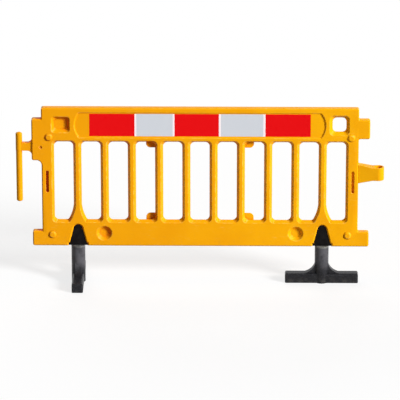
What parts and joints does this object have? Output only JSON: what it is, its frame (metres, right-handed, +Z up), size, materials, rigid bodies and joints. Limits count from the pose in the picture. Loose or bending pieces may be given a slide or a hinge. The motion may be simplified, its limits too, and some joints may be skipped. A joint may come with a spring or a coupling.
{
  "type": "traffic barricade",
  "caption": "Slatted moulded road-works barrier on swivelling rubber feet, with reflective sheeting along the top, a link pin at one end and a link eye at the other.",
  "frame": {"origin": "on the floor, at the centre of the footprint's bounding box", "axes": "+X along the panel towards the link eye, +Y towards the back, +Z up; the sheeted front faces -Y"},
  "size_m": [2, 0.4, 1],
  "materials": {
    "yellow_plastic": "satin moulded yellow",
    "red_sheeting": "reflective red film",
    "white_sheeting": "reflective silver-white film",
    "black_plastic": "matt black",
    "black_rubber": "matt dark grey recycled rubber",
    "steel": "zinc plated"
  },
  "bodies": {
    "barrier": {"panel": "yellow_plastic", "sheet_red_left": "red_sheeting", "sheet_white_left": "white_sheeting", "sheet_red_middle": "red_sheeting", "sheet_white_right": "white_sheeting", "sheet_red_right": "red_sheeting", "link_pin": "yellow_plastic", "link_dowel": "yellow_plastic", "link_eye": "yellow_plastic", "foot_socket_left": "black_plastic", "foot_socket_right": "black_plastic", "pivot_bolt_left": "steel", "pivot_bolt_right": "steel", "pivot_washer_left": "steel", "pivot_washer_right": "steel", "pivot_sleeve_left": "steel", "pivot_sleeve_right": "steel", "pivot_nut_left": "steel", "pivot_nut_right": "steel"},
    "left_foot": {"foot_left": "black_rubber"},
    "right_foot": {"foot_right": "black_rubber"}
  },
  "joints": [
    {"name": "left_foot_swivel", "type": "hinge", "parent": "barrier", "child": "left_foot", "pos_m": [-0.666, 0, 0], "axis": [0, 0, 1], "continuous": true},
    {"name": "right_foot_swivel", "type": "hinge", "parent": "barrier", "child": "right_foot", "pos_m": [0.666, 0, 0], "axis": [0, 0, 1], "continuous": true}
  ]
}
